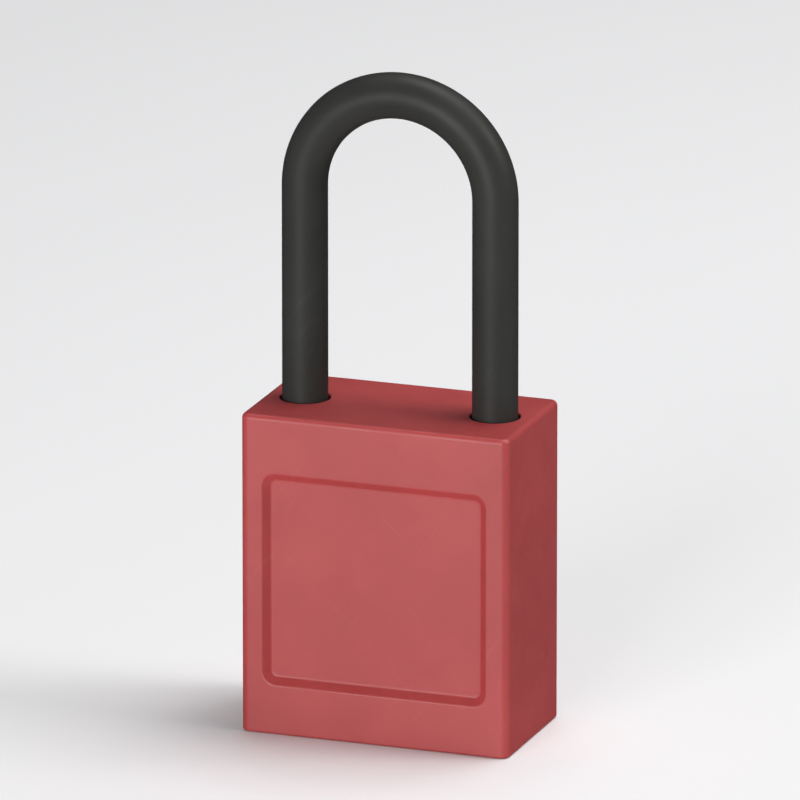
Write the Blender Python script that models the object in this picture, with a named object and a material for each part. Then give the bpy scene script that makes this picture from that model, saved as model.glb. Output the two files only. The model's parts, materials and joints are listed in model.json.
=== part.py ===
"""Safety padlock: a moulded nylon body, a nylon shackle and a pin-tumbler cylinder that is keyed from below.

Everything is in metres, +Z up. The origin is the centre of the body's underside. The long leg is at -X and
the short one at +X. -Y is the front, and front and back each have a sunk label panel.
The padlock is shut. Turning the plug by PLUG_TURN about +Z takes both locking balls back by BALL_TRAVEL and
lets the shackle up by LIFT.
"""

import math

import bmesh
import bpy
from mathutils import Euler, Matrix, Vector

MM = 0.001

# Clearances
SEAM = 0.3 * MM  # between pieces that rest against each other
RUN = 0.15 * MM  # between pieces that slide or turn in each other
REACH = 1.0 * MM  # how far a cutter runs past the face it cuts
WELD = 0.001 * MM

# Body shell
BODY_W = 38.0 * MM
BODY_D = 21.0 * MM
BODY_H = 44.5 * MM
BODY_EDGE_R = 1.2 * MM
BODY_RIM_BEVEL = 0.6 * MM
SIDE_WALL = 2.0 * MM
FACE_WALL = 2.3 * MM
TOP_WALL = 3.5 * MM
PANEL_W = 29.8 * MM  # of the panel's flat floor
PANEL_H = 27.6 * MM
PANEL_Z = 21.7 * MM
PANEL_R = 0.9 * MM
PANEL_DEPTH = 1.0 * MM  # and the width of the sloping border round the floor

# The room inside the shell, and the outline of the pieces that fill it
CAVITY_X = BODY_W / 2 - SIDE_WALL
CAVITY_Y = BODY_D / 2 - FACE_WALL
CAVITY_TOP = BODY_H - TOP_WALL
CAVITY_R = 0.8 * MM
INNER_X = CAVITY_X - SEAM
INNER_Y = CAVITY_Y - SEAM

# Shackle: LEG_X is half the distance between the legs' axes. The short leg is at +X, the long one at -X.
LEG_R = 3.1 * MM
LEG_X = 13.5 * MM
LEG_HOLE_R = LEG_R + SEAM
BOW_Z = BODY_H + 29.6 * MM
LIFT = 9.8 * MM
TIP_CLEAR = 0.7 * MM  # the lifted tip's height above the body
SHORT_TIP_Z = BODY_H - LIFT + TIP_CLEAR
TIP_INSET = 1.2 * MM
TIP_ROUNDING = ((0.35 * MM, 0.5 * MM), (1.1 * MM, 0))  # (rise, inset) of the rings above the short leg's tip
TIP_CHAMFER = 0.5 * MM
NECK_R = 2.0 * MM
NECK_CLEAR = 0.4 * MM
COLLAR_H = 3.5 * MM
SPRING_R = 2.4 * MM
SPRING_WIRE_R = 0.35 * MM
SPRING_TURNS = 6.5
SHACKLE_SIDES = 20
BOW_STEPS = 24

# Bottom cap and its two screws
CAP_H = 3.0 * MM
CAP_SCREW_X = 13.2 * MM
CAP_SCREW_Y = 5.4 * MM
CAP_SCREW_R = 1.0 * MM
CAP_SCREW_HEAD_R = 1.9 * MM
CAP_SCREW_HEAD_H = 1.3 * MM
CAP_SCREW_FACE = 0.2 * MM
CAP_SCREW_L = 8.8 * MM
CAP_SCREW_POINT = 0.8 * MM

# Cylinder: PLUG_R is the shear line's radius. The pins stand along +X.
PLUG_R = 5.0 * MM
PLUG_HEAD_R = 5.7 * MM
PLUG_HEAD_H = 1.1 * MM
PLUG_HEAD_CHAMFER = 0.3 * MM
FACE_Z = 0.4 * MM  # the housing's face, inside the cap's hole
PLUG_FACE_Z = FACE_Z + 0.2 * MM
NOSE_R = 6.3 * MM
HOUSING_R = 7.2 * MM
HOUSING_TOP = 27.0 * MM
RIDGE_X = 15.4 * MM
RIDGE_Y = 2.9 * MM
GROOVE_R = 4.0 * MM
GROOVE_H = 0.8 * MM
CLIP_R = 6.1 * MM
CLIP_GAP = math.radians(70)
CLIP_PLAY = 0.1 * MM  # above and below the clip in its groove
TAIL_DISC_R = 4.6 * MM
TAIL_DISC_H = 0.7 * MM
TANG_X = 3.0 * MM  # half the tang's length and thickness
TANG_Y = 1.2 * MM
TANG_H = 3.2 * MM
KEYWAY_TOP = 24.0 * MM
KEYWAY = (  # the warded slot's outline in millimetres, its open end at -X
    (-4.2, -1.1),
    (-0.6, -1.1),
    (-0.6, -0.5),
    (1.2, -0.5),
    (1.2, -0.9),
    (3.4, -0.9),
    (3.4, 0.5),
    (2.2, 0.5),
    (2.2, 1.1),
    (-1.6, 1.1),
    (-1.6, 0.4),
    (-4.2, 0.4),
)

# Pin stacks, all six at the shear line
PIN_COUNT = 6
PIN_PITCH = 3.2 * MM
FIRST_PIN_Z = 5.6 * MM
PIN_R = 1.2 * MM
PIN_BORE_R = PIN_R + RUN
PIN_CHAMFER = 0.25 * MM
PIN_TIP = 0.7 * MM
PIN_SIDES = 12
KEY_PIN_LENGTHS = [step * MM for step in (5.6, 4.4, 6.0, 4.8, 5.2, 4.0)]
PIN_BORE_FLOOR = PLUG_R - max(KEY_PIN_LENGTHS) - 0.5 * MM
DRIVER_L = 4.0 * MM
PIN_SPRING_R = 0.85 * MM
PIN_SPRING_WIRE_R = 0.2 * MM
PIN_SPRING_PLAY = 0.1 * MM
COVER_T = 1.0 * MM
COVER_Y = 1.7 * MM
COVER_MARGIN = 0.3 * MM  # past the outer bores
COVER_PLAY = 0.1 * MM

# Carrier around the cylinder, and the plate that keeps the shackle's long leg
CARRIER_BOTTOM = CAP_H + SEAM
CARRIER_TOP = 28.8 * MM
CARRIER_TAIL_R = 6.5 * MM  # the opening that the clip and the hub stand in
SPRING_FLOOR = CARRIER_BOTTOM + 1.2 * MM
RETAINER_BOTTOM = CARRIER_TOP + SEAM
RETAINER_T = 1.2 * MM
RETAINER_INNER_X = 5.4 * MM
RETAINER_SLOT_R = NECK_R + 0.35 * MM
RETAINER_TOP = RETAINER_BOTTOM + RETAINER_T

# Locking block, balls and cam
BLOCK_BOTTOM = RETAINER_TOP + SEAM
BLOCK_TOP = CAVITY_TOP - SEAM
BALL_R = 2.5 * MM
BALL_BITE = 1.3 * MM  # how deep a ball stands in its leg
BALL_X = LEG_X - LEG_R + BALL_BITE - BALL_R
BALL_Z = BLOCK_TOP - BALL_R
BALL_TRAVEL = 4.2 * MM
PLUG_TURN = math.radians(90)
HUB_R = 4.6 * MM
CHAMBER_R = 7.1 * MM
CHAMBER_FLOOR = 35.2 * MM
LOBE_R = BALL_X - BALL_R - RUN
LOBE_BOTTOM = CHAMBER_FLOOR + SEAM
LOBE_TOP = BLOCK_TOP - 0.4 * MM
HUB_BOTTOM = CARRIER_TOP + 0.4 * MM
HUB_TOP = LOBE_BOTTOM + 0.1 * MM  # just into the lobes, and under the balls

# Screw that holds the cylinder, down the short leg's hole
LEG_POCKET_FLOOR = SHORT_TIP_Z - 0.6 * MM
STAY_HEAD_R = 2.6 * MM
STAY_HEAD_H = 1.5 * MM
STAY_HEAD_EDGE = 0.4 * MM
STAY_R = 1.45 * MM
STAY_POINT = 0.4 * MM
STAY_HEAD_Z = LEG_POCKET_FLOOR - STAY_HEAD_H - 0.3 * MM
STAY_TIP_Z = 24.0 * MM

# The long leg's neck lets it rise by LIFT before its collar meets the retainer
NECK_TOP = RETAINER_TOP + NECK_CLEAR
NECK_BOTTOM = RETAINER_BOTTOM - LIFT - NECK_CLEAR
LONG_TIP_Z = NECK_BOTTOM - COLLAR_H


# ---------------------------------------------------------------- helpers


def material(name, colour, roughness, metallic):
    """A Principled material of one plain colour."""
    made = bpy.data.materials.new(name)
    made.use_nodes = True
    shader = made.node_tree.nodes["Principled BSDF"]
    shader.inputs["Base Color"].default_value = (*colour, 1.0)
    shader.inputs["Roughness"].default_value = roughness
    shader.inputs["Metallic"].default_value = metallic
    made.diffuse_color = (*colour, 1.0)
    return made


def finish(name, bm, mat, centre=(0, 0, 0), rotation=(0, 0, 0)):
    """Makes a mesh object from bm, with its material, its place and smooth round faces."""
    bmesh.ops.recalc_face_normals(bm, faces=bm.faces)
    mesh = bpy.data.meshes.new(name)
    bm.to_mesh(mesh)
    bm.free()
    mesh.shade_smooth()
    mesh.set_sharp_from_angle(angle=math.radians(35))
    obj = bpy.data.objects.new(name, mesh)
    obj.location = centre
    obj.rotation_euler = rotation
    if mat:
        mesh.materials.append(mat)
    bpy.context.scene.collection.objects.link(obj)
    return obj


def turned_mesh(profile, sides):
    """The bmesh of a profile of (radius, height) points turned about Z. It starts and ends on the axis."""
    bm = bmesh.new()
    verts = [bm.verts.new((radius, 0, height)) for radius, height in profile]
    edges = [bm.edges.new(pair) for pair in zip(verts, verts[1:])]
    bmesh.ops.spin(
        bm,
        geom=verts + edges,
        cent=(0, 0, 0),
        axis=(0, 0, 1),
        angle=2 * math.pi,
        steps=sides,
        use_merge=True,
    )
    bmesh.ops.remove_doubles(bm, verts=bm.verts, dist=WELD)
    return bm


def turned(name, profile, sides, mat, centre=(0, 0, 0), rotation=(0, 0, 0)):
    return finish(name, turned_mesh(profile, sides), mat, centre, rotation)


def rod(radius, low, high):
    """The profile of a plain rod."""
    return [(0, low), (radius, low), (radius, high), (0, high)]


def tapered_mesh(lower, upper, low, high):
    """The bmesh between two flat outlines of (x, y) points, as many in each, at heights low and high."""
    bm = bmesh.new()
    bottom = [bm.verts.new((x, y, low)) for x, y in lower]
    top = [bm.verts.new((x, y, high)) for x, y in upper]
    bm.faces.new(bottom)
    bm.faces.new(top)
    for index in range(len(bottom)):
        bm.faces.new((bottom[index - 1], bottom[index], top[index], top[index - 1]))
    return bm


def extruded(name, outline, low, high, mat, centre=(0, 0, 0), rotation=(0, 0, 0)):
    return finish(name, tapered_mesh(outline, outline, low, high), mat, centre, rotation)


def rectangle(x0, x1, y0, y1):
    return [(x0, y0), (x1, y0), (x1, y1), (x0, y1)]


def rounded_rectangle(half_x, half_y, radius, steps=4):
    """The outline of a rectangle with round corners."""
    points = []
    for quarter, (sx, sy) in enumerate(((1, 1), (-1, 1), (-1, -1), (1, -1))):
        for step in range(steps + 1):
            angle = math.pi / 2 * (quarter + step / steps)
            x = sx * (half_x - radius) + radius * math.cos(angle)
            y = sy * (half_y - radius) + radius * math.sin(angle)
            points.append((x, y))
    return points


def joined(bodies):
    """One bmesh that holds several, each a separate closed body, as a cutter may."""
    whole = bmesh.new()
    for body, matrix in bodies:
        bmesh.ops.recalc_face_normals(body, faces=body.faces)
        body.transform(matrix)
        mesh = bpy.data.meshes.new("joined")
        body.to_mesh(mesh)
        body.free()
        whole.from_mesh(mesh)
        bpy.data.meshes.remove(mesh)
    return whole


def turned_row(name, profile, sides, places):
    """A cutter of the same turned shape at each (x, y) place."""
    bodies = [(turned_mesh(profile, sides), Matrix.Translation((x, y, 0))) for x, y in places]
    return finish(name, joined(bodies), None)


def combine(obj, operation, helpers):
    """Gives obj one Boolean for each helper. A helper is no part of the padlock by itself."""
    for helper in helpers:
        helper.hide_render = True
        helper.display_type = "WIRE"
        boolean = obj.modifiers.new(helper.name, "BOOLEAN")
        boolean.operation = operation
        boolean.solver = "EXACT"
        boolean.object = helper


def cut(obj, *cutters):
    combine(obj, "DIFFERENCE", cutters)


def join(obj, *others):
    combine(obj, "UNION", others)


def pin_heights():
    return [FIRST_PIN_Z + PIN_PITCH * index for index in range(PIN_COUNT)]


def pin_bores(name, low_x, high_x):
    """A cutter of six bores along +X, one at each pin's height."""
    along = Euler((0, math.pi / 2, 0)).to_matrix().to_4x4()
    bore = rod(PIN_BORE_R, low_x, high_x)
    bores = [
        (turned_mesh(bore, PIN_SIDES), Matrix.Translation((0, 0, height)) @ along) for height in pin_heights()
    ]
    return finish(name, joined(bores), None)


def coil(name, radius, wire_r, low, high, turns, steps, mat, centre=(0, 0, 0), rotation=(0, 0, 0)):
    """A compression spring about Z, of round wire, from low to high."""
    curve = bpy.data.curves.new(name, "CURVE")
    curve.dimensions = "3D"
    curve.bevel_depth = wire_r
    curve.bevel_resolution = 1
    curve.use_fill_caps = True
    spline = curve.splines.new("POLY")
    count = round(turns * steps) + 1
    spline.points.add(count - 1)
    for index, point in enumerate(spline.points):
        share = index / (count - 1)
        angle = 2 * math.pi * turns * share
        height = low + wire_r + (high - low - 2 * wire_r) * share
        point.co = (radius * math.cos(angle), radius * math.sin(angle), height, 1)
    curve.materials.append(mat)
    obj = bpy.data.objects.new(name, curve)
    obj.location = centre
    obj.rotation_euler = rotation
    bpy.context.scene.collection.objects.link(obj)
    return obj


def empty(name, centre):
    """The axis or the line of travel that a group of moving pieces hangs on."""
    obj = bpy.data.objects.new(name, None)
    obj.empty_display_size = 5 * MM
    obj.location = centre
    bpy.context.scene.collection.objects.link(obj)
    return obj


def hang(axis, *pieces):
    """Parents pieces to their axis, and leaves them where they are."""
    for piece in pieces:
        piece.parent = axis
        piece.matrix_parent_inverse = Matrix.Translation(axis.location).inverted()


# ---------------------------------------------------------------- body


def body_shell(mat):
    """The hollow body: open below, with two leg holes in its top and a sunk label panel front and back."""
    outline = rounded_rectangle(BODY_W / 2, BODY_D / 2, BODY_EDGE_R)
    bm = tapered_mesh(outline, outline, 0, BODY_H)
    rim = [edge for edge in bm.edges if all(vert.co.z > BODY_H - WELD for vert in edge.verts)]
    bmesh.ops.bevel(bm, geom=rim, offset=BODY_RIM_BEVEL, segments=2, profile=0.5, affect="EDGES")
    shell = finish("body_shell", bm, mat)
    cavity_outline = rounded_rectangle(CAVITY_X, CAVITY_Y, CAVITY_R, 2)
    cavity = extruded("cut_cavity", cavity_outline, -REACH, CAVITY_TOP, None)
    leg_hole = rod(LEG_HOLE_R, CAVITY_TOP - REACH, BODY_H + REACH)
    holes = turned_row("cut_leg_holes", leg_hole, 24, [(-LEG_X, 0), (LEG_X, 0)])
    panels = [
        finish(name, panel_mesh(), None, (0, 0, PANEL_Z), (math.pi / 2, 0, turn))
        for name, turn in (("cut_front_panel", 0), ("cut_back_panel", math.pi))
    ]
    cut(shell, cavity, holes, *panels)
    return shell


def panel_mesh():
    """A label panel's cutter, lying flat: from its floor outwards it widens by as much as it rises."""
    rise = PANEL_DEPTH + REACH
    floor = rounded_rectangle(PANEL_W / 2, PANEL_H / 2, PANEL_R)
    mouth = rounded_rectangle(PANEL_W / 2 + rise, PANEL_H / 2 + rise, PANEL_R + rise)
    return tapered_mesh(floor, mouth, BODY_D / 2 - PANEL_DEPTH, BODY_D / 2 + REACH)


def cap_screw_places():
    """The cap's screws stand on one diagonal, clear of the spring and of the pins."""
    return [(CAP_SCREW_X, -CAP_SCREW_Y), (-CAP_SCREW_X, CAP_SCREW_Y)]


def bottom_cap(mat):
    """The plate that closes the body, with the cylinder's hole and two countersunk screw holes."""
    cap = extruded("bottom_cap", rounded_rectangle(INNER_X, INNER_Y, CAVITY_R, 2), 0, CAP_H, mat)
    nose = turned("cut_nose", rod(NOSE_R + SEAM, -REACH, CAP_H + REACH), 36, None)
    sink = [
        (0, -REACH),
        (CAP_SCREW_HEAD_R + RUN + REACH, -REACH),
        (CAP_SCREW_R + SEAM, CAP_SCREW_HEAD_H + SEAM),
        (CAP_SCREW_R + SEAM, CAP_H + REACH),
        (0, CAP_H + REACH),
    ]
    holes = turned_row("cut_cap_holes", sink, 16, cap_screw_places())
    cut(cap, nose, holes)
    return cap


def cap_screw(name, x, y, mat):
    """A countersunk screw with a cross recess, from the cap into the carrier."""
    profile = [
        (0, CAP_SCREW_FACE),
        (CAP_SCREW_HEAD_R - 0.2 * MM, CAP_SCREW_FACE),
        (CAP_SCREW_R, CAP_SCREW_FACE + CAP_SCREW_HEAD_H),
        (CAP_SCREW_R, CAP_SCREW_L - CAP_SCREW_POINT),
        (0.3 * MM, CAP_SCREW_L),
        (0, CAP_SCREW_L),
    ]
    screw = turned(name, profile, 16, mat, (x, y, 0))
    low, high = CAP_SCREW_FACE - REACH, CAP_SCREW_FACE + 0.7 * MM
    cut(screw, cross_cutter("cut_cross_" + name, 1.0 * MM, 0.22 * MM, low, high, (x, y, 0)))
    return screw


def cross_cutter(name, arm, side, low, high, centre):
    """A cutter for a screw's cross recess. Arm is half its length, and side is half an arm's width."""
    plus = [(arm, -side), (arm, side), (side, side), (side, arm), (-side, arm), (-side, side)]
    plus += [(-x, -y) for x, y in plus]
    return extruded(name, plus, low, high, None, centre)


def inner_carrier(mat):
    """The moulding that holds the cylinder and guides the long leg and its spring."""
    outline = rounded_rectangle(INNER_X, INNER_Y, CAVITY_R, 2)
    carrier = extruded("inner_carrier", outline, CARRIER_BOTTOM, CARRIER_TOP, mat)
    web = HOUSING_TOP + SEAM
    below = CARRIER_BOTTOM - REACH
    above = CARRIER_TOP + REACH
    barrel = turned("cut_barrel", rod(HOUSING_R + SEAM, below, web), 36, None)
    ridge_outline = rectangle(0, RIDGE_X + SEAM, -RIDGE_Y - SEAM, RIDGE_Y + SEAM)
    ridge = extruded("cut_ridge", ridge_outline, below, web, None)
    tail = turned("cut_tail", rod(CARRIER_TAIL_R, web - REACH, above), 28, None)
    channel = turned("cut_channel", rod(LEG_HOLE_R, SPRING_FLOOR, above), 24, None, (-LEG_X, 0, 0))
    stay = turned("cut_stay_way", rod(STAY_R + SEAM, web - REACH, above), 16, None, (LEG_X, 0, 0))
    pilot = rod(CAP_SCREW_R + RUN, below, CAP_SCREW_L + SEAM)
    pilots = turned_row("cut_pilots", pilot, 12, cap_screw_places())
    cut(carrier, barrel, ridge, tail, channel, stay, pilots)
    return carrier


# ---------------------------------------------------------------- shackle


def next_ring(bm, edges, x, z, radius):
    """Extrudes an open ring to one of this radius round the axis at x, at height z, and returns its edges."""
    grown = bmesh.ops.extrude_edge_only(bm, edges=edges)["geom"]
    verts = {item for item in grown if isinstance(item, bmesh.types.BMVert)}
    for vert in verts:
        spoke = Vector((vert.co.x - x, vert.co.y, 0)).normalized()
        vert.co = Vector((x, 0, z)) + spoke * radius
    return [edge for edge in bm.edges if set(edge.verts) <= verts]


def capsule_profile(radius, length, steps=8):
    """A round-ended rod's profile, its ends' centres at 0 and length."""
    low = [(radius * math.sin(a), -radius * math.cos(a)) for a in quarter_turn(steps)]
    high = [(r, length - z) for r, z in reversed(low)]
    return low + high


def quarter_turn(steps):
    """The angles of a quarter turn, both ends included."""
    return [math.pi / 2 * step / steps for step in range(steps + 1)]


def half_turn(steps):
    """The angles of half a turn, both ends included."""
    return [math.pi * step / steps for step in range(steps + 1)]


def shackle(mat):
    """The U of round nylon: rounded tips, a ball notch in each leg, and a neck on the long leg."""
    bm = bmesh.new()
    start = Matrix.Translation((LEG_X, 0, SHORT_TIP_Z))
    bmesh.ops.create_circle(bm, radius=LEG_R - TIP_INSET, segments=SHACKLE_SIDES, matrix=start)
    ring = list(bm.edges)
    for rise, inset in TIP_ROUNDING:
        ring = next_ring(bm, ring, LEG_X, SHORT_TIP_Z + rise, LEG_R - inset)
    ring = next_ring(bm, ring, LEG_X, BOW_Z, LEG_R)
    spun = bmesh.ops.spin(
        bm,
        geom=ring,
        cent=(0, 0, BOW_Z),
        axis=(0, 1, 0),
        angle=-math.pi,
        steps=BOW_STEPS,
        use_duplicate=False,
    )
    ring = [item for item in spun["geom_last"] if isinstance(item, bmesh.types.BMEdge)]
    stations = (
        (NECK_TOP, LEG_R),
        (NECK_TOP, NECK_R),
        (NECK_BOTTOM, NECK_R),
        (NECK_BOTTOM, LEG_R),
        (LONG_TIP_Z + TIP_CHAMFER, LEG_R),
        (LONG_TIP_Z, LEG_R - TIP_CHAMFER),
    )
    for z, radius in stations:
        ring = next_ring(bm, ring, -LEG_X, z, radius)
    bmesh.ops.holes_fill(bm, edges=bm.edges, sides=0)
    obj = finish("shackle", bm, mat)
    lean = math.atan2(BALL_TRAVEL, LIFT)
    length = math.hypot(BALL_TRAVEL, LIFT)
    way = capsule_profile(BALL_R + RUN, length)
    for name, side in (("cut_short_notch", 1), ("cut_long_notch", -1)):
        down = (0, math.pi + side * lean, 0)
        cut(obj, turned(name, way, 20, None, (side * BALL_X, 0, BALL_Z), down))
    return obj


def retainer(mat):
    """The steel fork round the long leg's neck. The collar below the neck meets it when the shackle is up."""
    outline = [(-RETAINER_INNER_X, -INNER_Y), (-RETAINER_INNER_X, INNER_Y), (-INNER_X, INNER_Y)]
    outline.append((-INNER_X, RETAINER_SLOT_R))
    for angle in half_turn(10):
        x, y = RETAINER_SLOT_R * math.sin(angle), RETAINER_SLOT_R * math.cos(angle)
        outline.append((x - LEG_X, y))
    outline += [(-INNER_X, -RETAINER_SLOT_R), (-INNER_X, -INNER_Y)]
    return extruded("shackle_retainer", outline, RETAINER_BOTTOM, RETAINER_TOP, mat)


# ---------------------------------------------------------------- locking block, balls and cam


def locking_block(mat):
    """The cast block under the body's top: it guides both legs, both balls and the cam."""
    outline = rounded_rectangle(INNER_X, INNER_Y, CAVITY_R, 2)
    block = extruded("locking_block", outline, BLOCK_BOTTOM, BLOCK_TOP, mat)
    above = BLOCK_TOP + REACH
    below = BLOCK_BOTTOM - REACH
    long_bore = turned("cut_long_bore", rod(LEG_HOLE_R, below, above), 24, None, (-LEG_X, 0, 0))
    pocket_profile = [
        (0, below),
        (STAY_R + SEAM, below),
        (STAY_R + SEAM, STAY_HEAD_Z - SEAM),
        (STAY_HEAD_R + SEAM, STAY_HEAD_Z - SEAM),
        (STAY_HEAD_R + SEAM, LEG_POCKET_FLOOR),
        (LEG_HOLE_R, LEG_POCKET_FLOOR),
        (LEG_HOLE_R, above),
        (0, above),
    ]
    pocket = turned("cut_short_pocket", pocket_profile, 24, None, (LEG_X, 0, 0))
    chamber_profile = [
        (0, below),
        (HUB_R + SEAM, below),
        (HUB_R + SEAM, CHAMBER_FLOOR),
        (CHAMBER_R, CHAMBER_FLOOR),
        (CHAMBER_R, above),
        (0, above),
    ]
    chamber = turned("cut_chamber", chamber_profile, 40, None)
    channel_r = BALL_R + RUN
    floor = [(channel_r * math.cos(a), -channel_r * math.sin(a)) for a in half_turn(12)]
    channel_outline = floor + [(-channel_r, above - BALL_Z), (channel_r, above - BALL_Z)]
    along_x = (math.pi / 2, 0, math.pi / 2)
    channel = extruded("cut_ball_channel", channel_outline, -LEG_X, LEG_X, None, (0, 0, BALL_Z), along_x)
    cut(block, long_bore, pocket, chamber, channel)
    return block


def ball(name, x, mat):
    bm = bmesh.new()
    bmesh.ops.create_icosphere(bm, subdivisions=3, radius=BALL_R)
    return finish(name, bm, mat, (x, 0, BALL_Z))


def way_to_circle(offset, centre, radius):
    """How far a ray runs before it meets a circle whose centre is that far out, offset by that angle."""
    across = centre * math.sin(offset)
    if math.cos(offset) <= 0 or abs(across) >= radius:
        return math.inf
    return centre * math.cos(offset) - math.sqrt(radius**2 - across**2)


def cam_outline(points=80, sweep=60):
    """As much of a disc of LOBE_R as clears both balls at every angle of the plug."""
    outline = []
    for index in range(points):
        angle = 2 * math.pi * index / points
        radius = LOBE_R
        for step in range(sweep + 1):
            share = step / sweep
            out = BALL_X - BALL_TRAVEL * share
            for start in (0, math.pi):
                offset = angle - (start - PLUG_TURN * share)
                offset = (offset + math.pi) % (2 * math.pi) - math.pi
                radius = min(radius, way_to_circle(offset, out, BALL_R + RUN))
        outline.append((radius * math.cos(angle), radius * math.sin(angle)))
    return outline


def cam(mat):
    """The cam that backs both balls: two lobes on a hub, slotted below for the plug's tang."""
    lobes = extruded("cam", cam_outline(), LOBE_BOTTOM, LOBE_TOP, mat)
    join(lobes, turned("join_hub", rod(HUB_R, HUB_BOTTOM, HUB_TOP), 32, None))
    half_x, half_y = TANG_X + SEAM, TANG_Y + RUN
    slot_top = CARRIER_TOP + TANG_H + 0.4 * MM
    slot_outline = rectangle(-half_x, half_x, -half_y, half_y)
    cut(lobes, extruded("cut_tang_slot", slot_outline, HUB_BOTTOM - REACH, slot_top, None))
    return lobes


def stay_screw(mat):
    """The screw down the short leg's hole that pins the cylinder's ridge to the block."""
    top = STAY_HEAD_Z + STAY_HEAD_H
    profile = [
        (0, STAY_TIP_Z),
        (STAY_R - STAY_POINT, STAY_TIP_Z),
        (STAY_R, STAY_TIP_Z + STAY_POINT),
        (STAY_R, STAY_HEAD_Z),
        (STAY_HEAD_R, STAY_HEAD_Z),
        (STAY_HEAD_R, top - STAY_HEAD_EDGE),
        (STAY_HEAD_R - STAY_HEAD_EDGE, top),
        (0, top),
    ]
    screw = turned("cylinder_screw", profile, 18, mat, (LEG_X, 0, 0))
    low, high = top - 0.9 * MM, top + REACH
    cut(screw, cross_cutter("cut_cross_cylinder_screw", 1.4 * MM, 0.3 * MM, low, high, (LEG_X, 0, 0)))
    return screw


# ---------------------------------------------------------------- cylinder


def cylinder_housing(mat):
    """The lock cylinder's fixed part: barrel, nose, and the ridge that holds the pin chambers."""
    barrel_profile = [
        (0, FACE_Z),
        (NOSE_R, FACE_Z),
        (NOSE_R, CARRIER_BOTTOM),
        (HOUSING_R, CARRIER_BOTTOM),
        (HOUSING_R, HOUSING_TOP),
        (0, HOUSING_TOP),
    ]
    housing = turned("cylinder_housing", barrel_profile, 40, mat)
    ridge_outline = rectangle(0, RIDGE_X, -RIDGE_Y, RIDGE_Y)
    join(housing, extruded("join_ridge", ridge_outline, CARRIER_BOTTOM + SEAM, HOUSING_TOP, None))
    seat = PLUG_FACE_Z + PLUG_HEAD_H + 0.2 * MM
    bore_profile = [
        (0, -REACH),
        (PLUG_HEAD_R + RUN, -REACH),
        (PLUG_HEAD_R + RUN, seat),
        (PLUG_R + RUN, seat),
        (PLUG_R + RUN, HOUSING_TOP + REACH),
        (0, HOUSING_TOP + REACH),
    ]
    bore = turned("cut_bore", bore_profile, 40, None)
    chambers = pin_bores("cut_chambers", PLUG_R - REACH, RIDGE_X + REACH)
    low, high = cover_span()
    groove_outline = rectangle(RIDGE_X - COVER_T, RIDGE_X + REACH, -COVER_Y - RUN, COVER_Y + RUN)
    groove = extruded("cut_cover_groove", groove_outline, low - RUN, high + RUN, None)
    stay_hole = rod(STAY_R + RUN, STAY_TIP_Z - RUN, HOUSING_TOP + REACH)
    stay = turned("cut_stay_hole", stay_hole, 18, None, (LEG_X, 0, 0))
    cut(housing, bore, chambers, groove, stay)
    return housing


def cover_span():
    """The lowest and highest point of the strip over the pin chambers."""
    margin = PIN_BORE_R + COVER_MARGIN
    heights = pin_heights()
    return heights[0] - margin, heights[-1] + margin - COVER_PLAY


def chamber_cover(mat):
    low, high = cover_span()
    inner = RIDGE_X - COVER_T + COVER_PLAY
    return extruded("chamber_cover", rectangle(inner, RIDGE_X, -COVER_Y, COVER_Y), low, high, mat)


def plug(mat):
    """The part that the key turns: head, keyway, six pin bores, clip groove and tang."""
    head_top = PLUG_FACE_Z + PLUG_HEAD_H
    groove_low = HOUSING_TOP + SEAM
    groove_high = groove_low + GROOVE_H
    disc_top = groove_high + TAIL_DISC_H
    profile = [
        (0, PLUG_FACE_Z),
        (PLUG_HEAD_R - PLUG_HEAD_CHAMFER, PLUG_FACE_Z),
        (PLUG_HEAD_R, PLUG_FACE_Z + PLUG_HEAD_CHAMFER),
        (PLUG_HEAD_R, head_top),
        (PLUG_R, head_top),
        (PLUG_R, groove_low),
        (GROOVE_R, groove_low),
        (GROOVE_R, groove_high),
        (TAIL_DISC_R, groove_high),
        (TAIL_DISC_R, disc_top),
        (0, disc_top),
    ]
    body = turned("plug", profile, 40, mat)
    tang_outline = rectangle(-TANG_X, TANG_X, -TANG_Y, TANG_Y)
    join(body, extruded("join_tang", tang_outline, groove_high + SEAM, disc_top + TANG_H, None))
    slot = extruded("cut_keyway", [(x * MM, y * MM) for x, y in KEYWAY], -REACH, KEYWAY_TOP, None)
    cut(body, slot, pin_bores("cut_plug_bores", PIN_BORE_FLOOR, PLUG_R + REACH))
    return body


def plug_clip(mat):
    """The open spring ring in the plug's groove, behind the housing."""
    inner = GROOVE_R + RUN
    steps = 22
    angles = [CLIP_GAP / 2 + (2 * math.pi - CLIP_GAP) * step / steps for step in range(steps + 1)]
    ring = [(CLIP_R * math.cos(a), CLIP_R * math.sin(a)) for a in angles]
    ring += [(inner * math.cos(a), inner * math.sin(a)) for a in reversed(angles)]
    groove_low = HOUSING_TOP + SEAM
    return extruded("plug_clip", ring, groove_low + CLIP_PLAY, groove_low + GROOVE_H - CLIP_PLAY, mat)


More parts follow.
